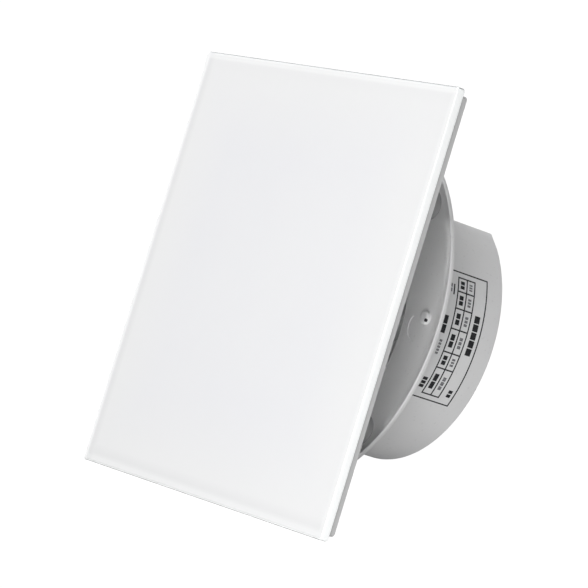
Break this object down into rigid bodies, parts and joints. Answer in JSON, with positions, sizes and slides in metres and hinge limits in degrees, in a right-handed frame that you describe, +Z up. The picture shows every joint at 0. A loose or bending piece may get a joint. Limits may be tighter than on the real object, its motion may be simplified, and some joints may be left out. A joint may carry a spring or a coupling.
{
  "type": "bathroom extractor fan",
  "caption": "Slim wall extractor fan: square glass front panel on posts over a round flange, with an axial impeller and shaded-pole motor in a duct spigot.",
  "frame": {"origin": "on the spigot's axis, in the plane where the flange's back meets the wall", "axes": "+Y along the spigot into the duct, -Y towards the room and the glass panel, +Z up, +X to the right seen from the room"},
  "size_m": [0.16, 0.0704, 0.16],
  "materials": {
    "glass": "polished white-backed glass",
    "white": "satin injection-moulded ABS",
    "grey": "satin moulded plastic",
    "black": "matt moulded plastic",
    "tape": "foam tape",
    "rubber": "matt soft rubber",
    "steel": "bright zinc plate",
    "lamination": "stacked laminations",
    "copper": "enamelled copper wire",
    "aluminium": "as cast",
    "bronze": "sintered, oil-filled",
    "brass": "machined",
    "fibre": "fibre washer",
    "brown": "wire insulation",
    "blue": "wire insulation"
  },
  "bodies": {
    "base": {"cable_clamp": "white", "cable_grommet": "rubber", "clamp_screw_1": "steel", "clamp_screw_2": "steel", "fan_body": "white", "front_bearing": "bronze", "front_bearing_bridge": "aluminium", "guard_screw_1": "steel", "guard_screw_2": "steel", "guard_screw_3": "steel", "inlet_guard": "white", "motor_bolt_1": "steel", "motor_bolt_2": "steel", "motor_cap": "white", "motor_lead_live": "brown", "motor_lead_neutral": "blue", "rear_bearing": "bronze", "rear_bearing_bridge": "aluminium", "shading_ring_1": "copper", "shading_ring_2": "copper", "shading_ring_3": "copper", "shading_ring_4": "copper", "stator_core": "lamination", "terminal_block": "black", "terminal_screw_1": "brass", "terminal_screw_2": "brass", "terminal_screw_3": "brass", "thermal_cutout": "black", "winding_1": "copper", "winding_2": "copper", "winding_3": "copper", "winding_4": "copper"},
    "rotor": {"impeller": "grey", "impeller_nut": "brass", "motor_shaft": "steel", "rotor_core": "lamination", "front_thrust_washer": "fibre", "rear_thrust_washer": "fibre"},
    "front_panel": {"glass_panel": "glass", "panel_carrier": "white", "adhesive_strip_bottom": "tape", "adhesive_strip_left": "tape", "adhesive_strip_right": "tape", "adhesive_strip_top": "tape"},
    "cover": {"terminal_cover": "white", "terminal_cover_screw": "steel"}
  },
  "joints": [
    {"name": "impeller_spin", "type": "hinge", "parent": "base", "child": "rotor", "pos_m": [0, 0, -0.0047], "axis": [0, 1, 0], "continuous": true},
    {"name": "panel_pull", "type": "slide", "parent": "base", "child": "front_panel", "axis": [0, -1, 0], "range_m": [0, 0.03]},
    {"name": "cover_pull", "type": "slide", "parent": "base", "child": "cover", "axis": [0, -1, 0], "range_m": [0, 0.008]}
  ]
}
